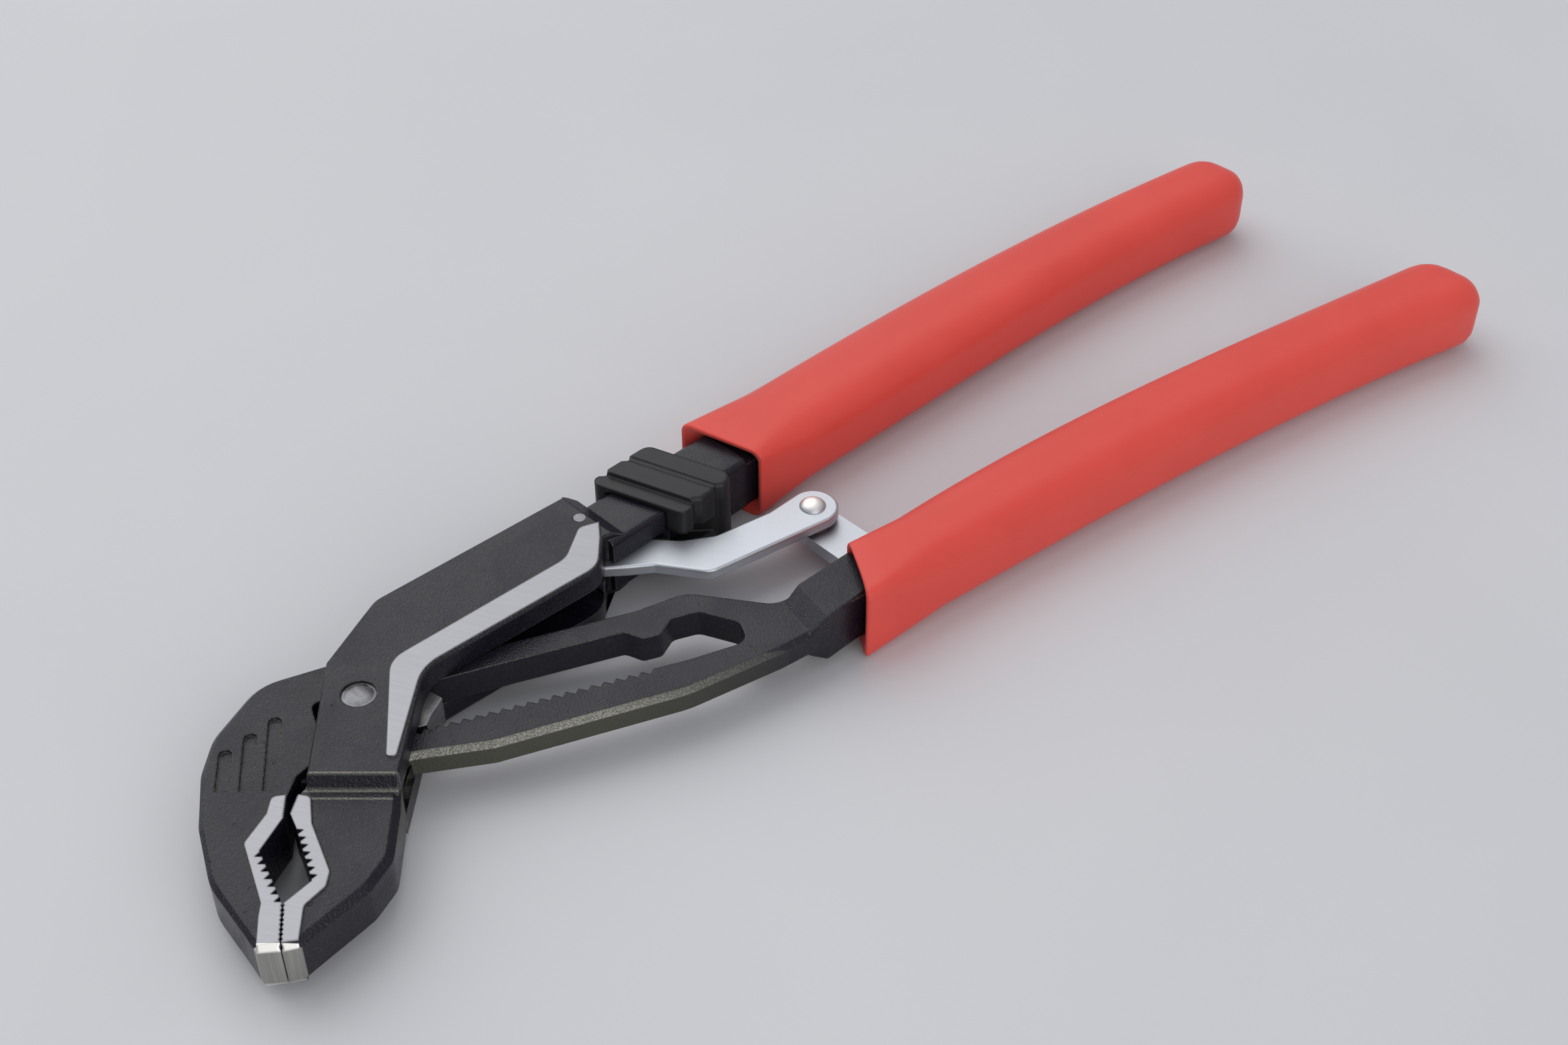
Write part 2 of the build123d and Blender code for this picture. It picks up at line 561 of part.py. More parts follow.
with BuildPart() as lock_slider:
    near_side = side_points(slider_low, 1)
    far_side = side_points(slider_high, -1)
    with BuildSketch(mid) as slider_outline:
        with BuildLine():
            Polyline(*near_side, *reversed(far_side), close=True)
        make_face()
        shoulders = [p for side in (near_side, far_side) for p in side[1:-1]]
        fillet(at(slider_outline.vertices(), shoulders), 0.5)
        fillet(at(slider_outline.vertices(), [near_side[0], far_side[0]]), 1.2)
        fillet(at(slider_outline.vertices(), [near_side[-1], far_side[-1]]), 2.4)
    extrude(amount=grip_half, both=True)
    chamfer(lock_slider.edges().filter_by(Plane.XY), 0.5)
    # the front rib is lower, and a shallow line parts the other two
    strips = [
        (slider_front - 3, slider_valleys[0], lip_drop),
        (slider_valleys[1] - 0.6, slider_valleys[1] + 0.6, rib_line),
    ]
    for start, end, depth in strips:
        corners = [slanted(start, -10), slanted(end, -10), slanted(end, 20), slanted(start, 20)]
        for side in (1, -1):
            with BuildSketch(Plane.XY.offset(mid_z + side * (grip_half - depth))):
                with BuildLine():
                    Polyline(*corners, close=True)
                make_face()
            extrude(amount=side * 2, mode=Mode.SUBTRACT)
    # way for the guide shank
    with BuildSketch(mid):
        with Locations(((slider_front + slider_rear) / 2, shank_mid)):
            Rectangle(40, shank_high - shank_low + 2 * run_gap)
    extrude(amount=shank_half + run_gap, both=True, mode=Mode.SUBTRACT)
    # way for the link through the near wall
    with BuildSketch(mid):
        with BuildLine():
            Polyline((50, -10), (50, 0), (64.5, 0), (72.0, -6.2), (72.0, -10), close=True)
        make_face()
    extrude(amount=link_half + 0.5, both=True, mode=Mode.SUBTRACT)
lock_slider.part.label = "lock_slider"
export_step(lock_slider.part, "parts/lock_slider.step")

# ================================================================== GRIPS
upper_front = [
    (70, 20), (grip_front - 5.5, 20), (grip_front - 3.8, 12.9), (grip_front, -3.2),
    (grip_front + 1.2, -9), (70, -9),
]
lower_front = [(60, -20), (82, -20), (75.8, -28.2), (68.4, -40.4), (64, -48), (60, -48)]
grips = [
    ("upper_grip", upper_run, upper_front, [upper_lever.part]),
    ("lower_grip", lower_run, lower_front, [lower_lever.part, link_lug.part, *lug_rivet_parts]),
]
for name, run, front_cut, held in grips:
    with BuildPart() as grip:
        with BuildSketch(mid) as plan:
            with BuildLine():
                end_corners = handle_outline(run)
            make_face()
            fillet(at(plan.vertices(), end_corners), 5.5)
        extrude(amount=grip_half, both=True)
        rim = grip.edges().filter_by(Plane.XY)
        rim = [e for e in rim if e.center().X > run[0][0] + 0.5]
        fillet(rim, grip_round)
        # oblique front, then the steel that the grip holds
        with BuildSketch(mid):
            with BuildLine():
                Polyline(*front_cut, close=True)
            make_face()
        extrude(amount=grip_half + 1, both=True, mode=Mode.SUBTRACT)
        for steel in held:
            add(steel, mode=Mode.SUBTRACT)
    grip.part.label = name
    export_step(grip.part, f"parts/{name}.step")
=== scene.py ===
# %% [markdown]
# # Tongue and groove pliers in Blender
#
# The tool is two forged steel levers that pass through each other. A bolt in a toothed slot sets how
# wide the jaws stand, a zinc plated link ties the handles together, and a plastic slider locks it.
# The solids come ready made from the CAD frame, so this lesson is about what CAD leaves out:
# softened edges, finishes, dipped grips, light and a camera. Everything is in metres, in the frame
# of the CAD.

# %% Load the frame
import math

import bmesh
import bpy
import numpy as np
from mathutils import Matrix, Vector


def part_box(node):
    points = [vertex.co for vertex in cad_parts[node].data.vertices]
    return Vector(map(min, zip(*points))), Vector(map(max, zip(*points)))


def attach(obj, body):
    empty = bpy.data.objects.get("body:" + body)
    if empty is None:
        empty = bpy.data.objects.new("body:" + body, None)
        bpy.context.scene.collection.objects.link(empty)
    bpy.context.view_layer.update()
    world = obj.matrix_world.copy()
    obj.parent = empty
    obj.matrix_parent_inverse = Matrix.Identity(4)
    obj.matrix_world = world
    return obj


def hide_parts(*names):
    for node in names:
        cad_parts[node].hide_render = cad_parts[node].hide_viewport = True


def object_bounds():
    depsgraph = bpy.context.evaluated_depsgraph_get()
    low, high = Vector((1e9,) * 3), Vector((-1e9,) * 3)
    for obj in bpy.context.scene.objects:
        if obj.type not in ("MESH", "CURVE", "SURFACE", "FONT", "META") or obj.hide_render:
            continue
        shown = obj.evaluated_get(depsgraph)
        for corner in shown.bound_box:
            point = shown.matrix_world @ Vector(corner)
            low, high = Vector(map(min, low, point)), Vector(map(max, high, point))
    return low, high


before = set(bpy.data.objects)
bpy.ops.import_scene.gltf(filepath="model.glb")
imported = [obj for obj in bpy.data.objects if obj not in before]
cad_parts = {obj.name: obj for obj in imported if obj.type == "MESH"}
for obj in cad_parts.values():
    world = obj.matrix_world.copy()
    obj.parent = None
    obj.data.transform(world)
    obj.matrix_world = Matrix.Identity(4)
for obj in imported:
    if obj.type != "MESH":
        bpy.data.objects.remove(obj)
MM = 0.001

for spare in ("Cube", "Light", "Camera"):
    found = bpy.data.objects.get(spare)
    if found:
        bpy.data.objects.remove(found)

cad_low, cad_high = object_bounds()
print("CAD box, mm:", [round((b - a) / MM, 1) for a, b in zip(cad_low, cad_high)])

# %% [markdown]
# ## Sizes that the finishes need
#
# Both levers are symmetric about one middle height, so every mask for a ground face can be written
# as a distance from that height. It could be typed in, but the upper lever's own box gives it, and
# then those stay right when the tool is made thicker. The other sizes are the forging's own, typed
# in: how far the lands stand up, how much lower the jaws are, and where the sloped ledge lies.

# %% Heights of the tool
lever_low, lever_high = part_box("upper_lever")
middle = (lever_low.z + lever_high.z) / 2
stripe_top = lever_high.z - middle
land_rise = 0.3 * MM
jaw_drop = 2.4 * MM
ledge_reach = 24.4 * MM
slot_angle = math.radians(-24.5)
print("middle height, mm:", round(middle / MM, 2), " stripe above it:", round(stripe_top / MM, 2))

# %% [markdown]
# ## Camera
#
# The tool lies on a bench and is seen from beyond its jaws, from about forty degrees above. The
# camera could be aimed with a constraint, but a look direction turned into a rotation is simpler
# to read and keeps nothing hidden. The lens is a plain 50 mm.

# %% Place the camera
camera_place = Vector((-117.7, -207.6, 250.0)) * MM
camera_look = Vector((0.531, 0.531, -0.660))
camera_data = bpy.data.cameras.new("bench_camera")
camera_data.lens = 50.5
camera_data.sensor_width = 36.0
camera_data.clip_start = 0.01
camera_data.clip_end = 20.0
camera = bpy.data.objects.new("bench_camera", camera_data)
camera.location = camera_place
camera.rotation_euler = camera_look.to_track_quat("-Z", "Y").to_euler()
bpy.context.scene.collection.objects.link(camera)
bpy.context.scene.camera = camera
print("camera tilt, degrees:", round(math.degrees(camera.rotation_euler.x), 1))

# %% [markdown]
# ## Shader helpers
#
# A procedural finish is a small network of nodes. Adding each node and each link by hand takes five
# lines, so one helper adds a node, sets its properties and fills its inputs, either with a value or
# with another node's output. The others stand for what every finish needs: sums, blends between two
# values or colours, and a ramp that turns a measure into a mask.


# %% Helper: put a node in a tree
def put(tree, kind, inputs=None, **properties):
    """Adds a shader node; inputs maps a socket's name or number to a value or to another socket."""
    node = tree.nodes.new("ShaderNode" + kind)
    for name, value in properties.items():
        setattr(node, name, value)
    for name, value in (inputs or {}).items():
        if isinstance(value, bpy.types.NodeSocket):
            tree.links.new(value, node.inputs[name])
        else:
            node.inputs[name].default_value = value
    return node


# %% Helpers: sums, blends and ramps
def math_node(tree, operation, first, second=0.0, clamp=False):
    """The result of one math operation on two values or sockets."""
    node = put(tree, "Math", {0: first, 1: second}, operation=operation, use_clamp=clamp)
    return node.outputs[0]


def product(tree, first, *others):
    """All the masks multiplied, so that it is 1 only where each of them is."""
    for other in others:
        first = math_node(tree, "MULTIPLY", first, other)
    return first


def blend_value(tree, mask, low, high):
    """A value between low and high, as a mask says."""
    return put(tree, "Mix", {"Factor": mask, 2: low, 3: high}, data_type="FLOAT").outputs[0]


def blend_colour(tree, mask, low, high):
    """A colour between low and high, as a mask says."""
    colours = [c if isinstance(c, bpy.types.NodeSocket) else (*c, 1.0) for c in (low, high)]
    node = put(tree, "Mix", {"Factor": mask, 6: colours[0], 7: colours[1]}, data_type="RGBA")
    return node.outputs[2]


def ramp(tree, value, start, end):
    """0 at start, 1 at end, straight between and level beyond; start may be the larger of the two."""
    node = put(tree, "MapRange", {"Value": value, "From Min": start, "From Max": end})
    return node.outputs["Result"]


# %% Helpers: where a point lies
def object_place(tree):
    """Each point's place in the frame of its own object, so that a finish moves with its piece."""
    return put(tree, "TexCoord").outputs["Object"]


def apart(tree, vector):
    """The X, Y and Z of a vector."""
    return put(tree, "SeparateXYZ", {0: vector}).outputs


def along(tree, place, direction):
    """How far a place lies along a direction."""
    node = put(tree, "VectorMath", {0: place, 1: direction}, operation="DOT_PRODUCT")
    return node.outputs["Value"]


# %% [markdown]
# ## Node groups
#
# An effect that several finishes share is built once as a group and placed in each material with
# its own values. Groups put out only masks, heights and directions. The shader stays in the
# material, where its constants are easy to find.


# %% Helpers: make a group and place it
def new_group(name, inputs, outputs):
    """A shader node group with named number inputs (name: default) and outputs (name: kind)."""
    tree = bpy.data.node_groups.new(name, "ShaderNodeTree")
    for label, default in inputs.items():
        socket = tree.interface.new_socket(label, in_out="INPUT", socket_type="NodeSocketFloat")
        socket.default_value = default
    for label, kind in outputs.items():
        tree.interface.new_socket(label, in_out="OUTPUT", socket_type="NodeSocket" + kind)
    return tree, tree.nodes.new("NodeGroupInput").outputs, tree.nodes.new("NodeGroupOutput").inputs


def put_out(tree, group_outputs, **values):
    """Links values to a group's outputs. Underscores stand for spaces."""
    for label, value in values.items():
        tree.links.new(value, group_outputs[label.replace("_", " ")])
    print("group", tree.name, "nodes:", len(tree.nodes))


def use_group(tree, group, **values):
    """Places a group in a material's tree and gives its outputs. Underscores stand for spaces."""
    node = tree.nodes.new("ShaderNodeGroup")
    node.node_tree = group
    for name, value in values.items():
        node.inputs[name.replace("_", " ")].default_value = value
    return node.outputs


# %% [markdown]
# ## Effect: forged grain
#
# Forging scale and blasting leave a fine pebbled skin on the black steel, soft swells where the die
# was worn, and a few pits. One noise alone looks like sand. Three sizes together look like metal:
# the grain, the swells five times wider, and the pits, which also hold less light. The group gives
# a height for bump and a mask of the pits.

# %% Group: forged grain
grain_group, grain_in, grain_out = new_group(
    "forged_grain",
    {"Grain Size": 0.4 * MM, "Pit Size": 1.5 * MM, "Swell": 0.6},
    {"Height": "Float", "Pits": "Float"},
)
place = object_place(grain_group)
fine = math_node(grain_group, "DIVIDE", 1.0, grain_in["Grain Size"])
skin = put(grain_group, "TexNoise", {"Vector": place, "Scale": fine, "Detail": 1.5}).outputs[0]
wide = math_node(grain_group, "DIVIDE", fine, 5.0)
swells = put(grain_group, "TexNoise", {"Vector": place, "Scale": wide, "Detail": 1.0}).outputs[0]
pit_scale = math_node(grain_group, "DIVIDE", 1.0, grain_in["Pit Size"])
pit_noise = put(grain_group, "TexNoise", {"Vector": place, "Scale": pit_scale, "Detail": 1.5}).outputs[0]
pits = ramp(grain_group, pit_noise, 0.68, 0.78)
height = math_node(grain_group, "ADD", skin, product(grain_group, swells, grain_in["Swell"]))
height = math_node(grain_group, "SUBTRACT", height, product(grain_group, pits, 0.5))
put_out(grain_group, grain_out, Height=height, Pits=pits)

# %% [markdown]
# ## Effect: brushing
#
# Ground faces carry straight fine lines. An image would do it, but a noise that is stretched a long
# way in one direction gives the same lines at any size. The angle turns the lines in plan, and
# Upright at 1 makes them run straight up instead, for a face that stands on edge. Streaks are the
# same kind of lines, about three times wider, for slow changes of colour.

# %% Group: brushing
brush_group, brush_in, brush_out = new_group(
    "brushing",
    {"Line Width": 0.12 * MM, "Stretch": 40.0, "Angle": 0.0, "Upright": 0.0},
    {"Lines": "Float", "Streaks": "Float"},
)
turned = put(brush_group, "VectorRotate", {
    "Vector": object_place(brush_group), "Angle": brush_in["Angle"],
}, rotation_type="Z_AXIS").outputs[0]
fine = math_node(brush_group, "DIVIDE", 1.0, brush_in["Line Width"])
coarse = math_node(brush_group, "DIVIDE", fine, brush_in["Stretch"])
plan_scale = blend_value(brush_group, brush_in["Upright"], coarse, fine)
rise_scale = blend_value(brush_group, brush_in["Upright"], fine, coarse)
scales = put(brush_group, "CombineXYZ", {"X": plan_scale, "Y": fine, "Z": rise_scale}).outputs[0]
squeezed = put(brush_group, "VectorMath", {0: turned, 1: scales}, operation="MULTIPLY").outputs[0]
lines = put(brush_group, "TexNoise", {"Vector": squeezed, "Scale": 1.0, "Detail": 2.0}).outputs[0]
streaks = put(brush_group, "TexNoise", {"Vector": squeezed, "Scale": 0.3, "Detail": 1.0}).outputs[0]
put_out(brush_group, brush_out, Lines=lines, Streaks=streaks)

# %% [markdown]
# ## Effect: handling marks
#
# Nothing that is held stays evenly matt: oil and fingers leave broad patches that shine a little
# more. A wide soft noise gives a mask that each finish uses for its roughness, and some for colour.

# %% Group: handling marks
marks_group, marks_in, marks_out = new_group(
    "handling_marks", {"Patch Size": 12 * MM, "Sharpness": 0.25}, {"Mask": "Float"}
)
patch = put(marks_group, "TexNoise", {
    "Vector": object_place(marks_group),
    "Scale": math_node(marks_group, "DIVIDE", 1.0, marks_in["Patch Size"]),
    "Detail": 4.0,
    "Distortion": 0.6,
}).outputs[0]
low_edge = math_node(marks_group, "SUBTRACT", 0.5, marks_in["Sharpness"])
high_edge = math_node(marks_group, "ADD", 0.5, marks_in["Sharpness"])
put_out(marks_group, marks_out, Mask=ramp(marks_group, patch, low_edge, high_edge))

# %% [markdown]
# ## Effect: edge wear and edge highlights
#
# Dark coatings rub off first where two faces meet. The Bevel node gives the direction that a
# rounded edge would face. Where that differs from the true direction there is an edge, and a grainy
# noise breaks the rubbed line up, as real wear is never even. On the forged steel the lighter line is
# partly rubbed-off black and partly a painted edge highlight. The rounded direction itself comes out
# too, so that a finish can make its edges look as soft as they are on a forging.

# %% Group: edge wear and edge highlights
rounded_edge_group, rounded_edge_in, rounded_edge_out = new_group(
    "rounded_edges",
    {"Radius": 0.4 * MM, "Amount": 1.0, "Grit Size": 0.4 * MM},
    {"Mask": "Float", "Rounded": "Vector"},
)
rounded = put(rounded_edge_group, "Bevel", {"Radius": rounded_edge_in["Radius"]}, samples=8).outputs[0]
facing = put(rounded_edge_group, "NewGeometry").outputs["Normal"]
match = along(rounded_edge_group, rounded, facing)
edge = ramp(rounded_edge_group, math_node(rounded_edge_group, "SUBTRACT", 1.0, match), 0.02, 0.16)
grit = put(rounded_edge_group, "TexNoise", {
    "Vector": object_place(rounded_edge_group),
    "Scale": math_node(rounded_edge_group, "DIVIDE", 1.0, rounded_edge_in["Grit Size"]),
    "Detail": 4.0,
}).outputs[0]
broken_up = product(rounded_edge_group, edge, ramp(rounded_edge_group, grit, 0.40, 0.62))
edge_mask = math_node(rounded_edge_group, "MULTIPLY", broken_up, rounded_edge_in["Amount"], clamp=True)
put_out(rounded_edge_group, rounded_edge_out, Mask=edge_mask, Rounded=rounded)

# %% [markdown]
# ## Effect: grime and painted shade in the corners
#
# Oil and dust stay where nothing wipes them: round the bolt, in the slot, at the foot of a step, and
# shade falls in the same places. An Ambient Occlusion node measures how closed in a place is, so the
# darkening it drives is partly oil and partly painted shade. It could be painted by hand, but this way
# it follows the shape by itself and stays right for every piece.

# %% Group: corner grime and painted shade
blotch_size = 1.2 * MM
grime_shade_group, grime_shade_in, grime_shade_out = new_group(
    "corner_grime_and_shade", {"Reach": 1.5 * MM, "Amount": 1.0}, {"Mask": "Float"}
)
# painted shade: Ambient Occlusion darkens closed-in places, partly standing for oil and partly for shade
openness = put(grime_shade_group, "AmbientOcclusion", {"Distance": grime_shade_in["Reach"]}, samples=6).outputs["AO"]
shut_in = ramp(grime_shade_group, math_node(grime_shade_group, "SUBTRACT", 1.0, openness), 0.30, 0.75)
blotch = put(grime_shade_group, "TexNoise", {
    "Vector": object_place(grime_shade_group), "Scale": 1.0 / blotch_size, "Detail": 3.0,
}).outputs[0]
patchy = product(grime_shade_group, shut_in, ramp(grime_shade_group, blotch, 0.2, 0.55))
settled_and_shaded = math_node(grime_shade_group, "MULTIPLY", patchy, grime_shade_in["Amount"], clamp=True)
put_out(grime_shade_group, grime_shade_out, Mask=settled_and_shaded)

# %% [markdown]
# ## Effect: which faces were ground
#
# The two jaws and the cheek carry raised lands that were ground bright after the black finish.
# They could be cut out as separate pieces, but they are one steel with the lever, so a mask is
# truer: it is 1 where the surface stands further from the middle height than the black faces do.
# On the jaw side of the sloped ledge the black faces are lower, so the level changes there.
# A second mask finds the small flat face at the very nose, and a third that face's two rims, which
# carry a painted highlight.
# The last finds the two lines of the upper lever's ledge, its crest and its foot, where the wheel
# has touched.

# %% Places of the ground faces
joint_level = stripe_top - 0.4 * land_rise
jaw_level = joint_level - jaw_drop
# rims of the nose face, which get a painted highlight
highlight_from = jaw_level - 1.2 * MM
highlight_to = jaw_level - 0.8 * MM
ledge_width = 2.0 * MM
nose_direction = (-0.66, -0.75, 0.0)
nose_from = 44.15 * MM
nose_to = 44.25 * MM
print("ground lands start, mm from the middle:", round(joint_level / MM, 2), round(jaw_level / MM, 2))

# %% Group: ground lands
land_group, land_in, land_out = new_group(
    "ground_lands",
    {"Softness": 0.05 * MM, "Line Width": 0.45 * MM, "Ledge Start": -8.5 * MM},
    {"Land": "Float", "Nose": "Float", "Nose Rim": "Float", "Ledge": "Float"},
)
place = object_place(land_group)
spot = apart(land_group, place)
away = math_node(land_group, "ABSOLUTE", math_node(land_group, "SUBTRACT", spot["Z"], middle))
past_ledge = math_node(land_group, "ADD", spot["X"], spot["Y"])
on_jaw = math_node(land_group, "LESS_THAN", past_ledge, -ledge_reach)
level = math_node(land_group, "SUBTRACT", joint_level, product(land_group, on_jaw, jaw_drop))
over = math_node(land_group, "SUBTRACT", away, level)
land = math_node(land_group, "DIVIDE", over, land_in["Softness"], clamp=True)
nose = ramp(land_group, along(land_group, place, nose_direction), nose_from, nose_to)
from_foot = math_node(land_group, "ABSOLUTE", math_node(land_group, "ADD", past_ledge, ledge_reach))
past_crest = math_node(land_group, "SUBTRACT", from_foot, ledge_width)
from_crest = math_node(land_group, "ABSOLUTE", past_crest)
nearest_line = math_node(land_group, "MINIMUM", from_foot, from_crest)
off_line = math_node(land_group, "DIVIDE", nearest_line, land_in["Line Width"])
on_line = math_node(land_group, "SUBTRACT", 1.0, off_line, clamp=True)
on_face = math_node(land_group, "GREATER_THAN", away, jaw_level - land_rise)
along_ledge = math_node(land_group, "SUBTRACT", spot["X"], spot["Y"])
on_upper = math_node(land_group, "GREATER_THAN", along_ledge, land_in["Ledge Start"])
put_out(
    land_group, land_out,
    Land=math_node(land_group, "MAXIMUM", land, nose),
    Nose=nose,
    Nose_Rim=product(land_group, nose, ramp(land_group, away, highlight_from, highlight_to)),
    Ledge=product(land_group, on_line, product(land_group, on_face, on_upper)),
)

# %% [markdown]
# ## Effect: the bare edge of the slotted arm
#
# The slotted arm is trimmed along its outer edge after forging, so its side is bare metal, tinted olive
# grey by a painted reflection, and the bevel above it is scuffed bright, partly with a painted
# highlight. Both are found from where the surface lies, across the slot's
# own direction, and from how much it faces up. Both fade in behind the jaw and fade out towards the
# handle, where nothing rubs.

# %% Group: arm edge
edge_group, edge_in, edge_out = new_group(
    "arm_edge_wear_and_sheen",
    {"Across": -9.2 * MM, "Half Thickness": 2.7 * MM, "Bright To": 26 * MM, "Dark From": 60 * MM},
    {"Side": "Float", "Bevel": "Float"},
)
place = object_place(edge_group)
spot = apart(edge_group, place)
away = math_node(edge_group, "ABSOLUTE", math_node(edge_group, "SUBTRACT", spot["Z"], middle))
across_slot = (-math.sin(slot_angle), math.cos(slot_angle), 0.0)
jaw_ends = -12 * MM
arm_begins = -4 * MM
outer = product(
    edge_group,
    math_node(edge_group, "LESS_THAN", along(edge_group, place, across_slot), edge_in["Across"]),
    math_node(edge_group, "LESS_THAN", away, edge_in["Half Thickness"]),
    ramp(edge_group, spot["X"], jaw_ends, arm_begins),
    ramp(edge_group, spot["X"], edge_in["Dark From"], edge_in["Bright To"]),
)
steepest_bevel = 0.35
flattest_bevel = 0.97
true_normal = put(edge_group, "NewGeometry").outputs["True Normal"]
upward = math_node(edge_group, "ABSOLUTE", apart(edge_group, true_normal)["Z"])
side_on = math_node(edge_group, "LESS_THAN", upward, steepest_bevel)
leaning = math_node(edge_group, "GREATER_THAN", upward, steepest_bevel)
not_flat = math_node(edge_group, "LESS_THAN", upward, flattest_bevel)
put_out(
    edge_group, edge_out,
    Side=product(edge_group, outer, side_on),
    Bevel=product(edge_group, outer, product(edge_group, leaning, not_flat)),
)

# %% [markdown]
# ## Starting a finish
#
# Every finish is one Principled shader. What is the same all over is set on the shader's own
# sockets, and what changes over the surface is linked to them.


# %% Helpers: start a material, feed its shader, raise a bump
def new_material(name, **constants):
    """A material with a Principled shader; constants go straight on the shader's own sockets."""
    material = bpy.data.materials.new(name)
    material.use_nodes = True
    shader = material.node_tree.nodes["Principled BSDF"]
    for label, value in constants.items():
        shader.inputs[label.replace("_", " ")].default_value = value
    return material, material.node_tree, shader


def feed(tree, shader, **sockets):
    """Links sockets to the shader's inputs. Underscores stand for spaces."""
    for label, value in sockets.items():
        tree.links.new(value, shader.inputs[label.replace("_", " ")])


def bump(tree, height, distance, under=None):
    """A Bump node's normal; distance is how deep a full step of height is, in metres."""
    inputs = {"Height": height, "Distance": distance}
    if under is not None:
        inputs["Normal"] = under
    return put(tree, "Bump", inputs).outputs["Normal"]


# %% [markdown]
# ## Finish: black forged steel with ground lands
#
# One material serves both levers. Underneath lies the black oxide skin: near black with a breath of
# blue, satin, pebbled, and oily in patches. The tops of the pebbles are a little lighter and
# smoother. Over it lie the bare places: the ground lands with their cross brushing, the nose with
# upright brushing and a painted highlight on its rims, the trimmed edge of the arm with a painted
# reflection and highlight in it, and thin lighter lines along the edges, partly where the black has
# rubbed off and partly painted highlight. Grime and painted shade darken the corners last.

# %% Forged steel: its effects
steel, tree, shader = new_material("forged_steel", Specular_IOR_Level=0.38)
grain = use_group(tree, grain_group, Grain_Size=0.36 * MM, Pit_Size=1.5 * MM, Swell=0.1)
marks = use_group(tree, marks_group, Patch_Size=9 * MM, Sharpness=0.12)
lands = use_group(tree, land_group)
arm_edge_wear_and_sheen = use_group(tree, edge_group)
cross = use_group(tree, brush_group, Line_Width=0.07 * MM, Angle=math.radians(62))
upright = use_group(tree, brush_group, Line_Width=0.12 * MM, Angle=math.radians(-42), Upright=1.0)
# edge lines: partly rubbed-off black and partly a painted edge highlight
wear_and_highlight = use_group(tree, rounded_edge_group, Radius=0.45 * MM, Amount=0.35, Grit_Size=0.25 * MM)
grime_shade = use_group(tree, grime_shade_group, Reach=1.6 * MM, Amount=0.85)
place = object_place(tree)
peaks = ramp(tree, grain["Height"], 0.58, 0.78)
print("material", steel.name, "nodes so far:", len(tree.nodes))

# %% [markdown]
# The scuffed places are the arm's bevel, partly a painted highlight, and the lines of the ledge. A very
# fine noise makes them gritty, between a quarter and nine tenths bare. How bare a place is also says
# how metallic it is.

# %% Forged steel: its bare places
grit_size = 0.16 * MM
grit = put(tree, "TexNoise", {"Vector": place, "Scale": 1 / grit_size, "Detail": 2.0}).outputs[0]
gritty = blend_value(tree, ramp(tree, grit, 0.38, 0.66), 0.25, 0.9)
# the arm's bevel is partly a painted highlight; the ledge lines are wear
scuffs_and_sheen = product(tree, math_node(tree, "MAXIMUM", arm_edge_wear_and_sheen["Bevel"], lands["Ledge"]), gritty)
rubbed_and_highlit = math_node(tree, "MAXIMUM", wear_and_highlight["Mask"], scuffs_and_sheen)
bare = math_node(tree, "MAXIMUM", lands["Land"], rubbed_and_highlit)
bare = math_node(tree, "MAXIMUM", bare, product(tree, arm_edge_wear_and_sheen["Side"], 0.6))
bare = math_node(tree, "SUBTRACT", bare, grime_shade["Mask"], clamp=True)
print("material", steel.name, "nodes so far:", len(tree.nodes))

# %% Forged steel: its colour, from the skin up to the grime and painted shade
black = blend_colour(tree, grain["Pits"], (0.0070, 0.0068, 0.0125), (0.004, 0.004, 0.006))
black = blend_colour(tree, peaks, black, (0.020, 0.020, 0.027))
ground = blend_colour(tree, cross["Streaks"], (0.30, 0.30, 0.32), (0.37, 0.37, 0.39))
nose_steel = blend_colour(tree, upright["Streaks"], (0.27, 0.265, 0.245), (0.49, 0.48, 0.45))
# painted highlight on the nose face's two rims
nose_steel = blend_colour(tree, lands["Nose Rim"], nose_steel, (0.90, 0.88, 0.83))
ground = blend_colour(tree, lands["Nose"], ground, nose_steel)
# olive grey side of the arm: bare metal tinted by a painted reflection
colour = blend_colour(tree, arm_edge_wear_and_sheen["Side"], black, (0.085, 0.083, 0.066))
# lighter olive grey on the rubbed places: partly wear and partly painted highlight
colour = blend_colour(tree, rubbed_and_highlit, colour, (0.34, 0.33, 0.28))
colour = blend_colour(tree, lands["Land"], colour, ground)
# near black in closed-in places: partly oil and partly painted shade
colour = blend_colour(tree, grime_shade["Mask"], colour, (0.010, 0.010, 0.010))
print("material", steel.name, "nodes so far:", len(tree.nodes))

# %% [markdown]
# The blasted skin is coarsest on the jaws and smoother along the arms, so the height of its grain
# falls off from the jaws to the handles. The ground lands have only their brushing.

# %% Forged steel: its gloss and relief
skin_rough = blend_value(tree, marks["Mask"], 0.27, 0.40)
skin_rough = math_node(tree, "SUBTRACT", skin_rough, product(tree, peaks, 0.07))
smooth_from = 45 * MM
coarse_to = 20 * MM
near_jaws = ramp(tree, apart(tree, place)["X"], smooth_from, coarse_to)
skin_height = product(tree, grain["Height"], blend_value(tree, near_jaws, 0.45, 1.0))
skin_bump = bump(tree, skin_height, 0.12 * MM, under=wear_and_highlight["Rounded"])
line_height = blend_value(tree, lands["Nose"], cross["Lines"], upright["Lines"])
land_bump = bump(tree, line_height, 0.006 * MM, under=wear_and_highlight["Rounded"])
relief = put(tree, "Mix", {"Factor": lands["Land"], 4: skin_bump, 5: land_bump}, data_type="VECTOR")
feed(
    tree, shader,
    Base_Color=colour,
    Metallic=bare,
    Roughness=blend_value(tree, bare, skin_rough, 0.42),
    Normal=relief.outputs[1],
)
print("material", steel.name, "nodes:", len(tree.nodes))

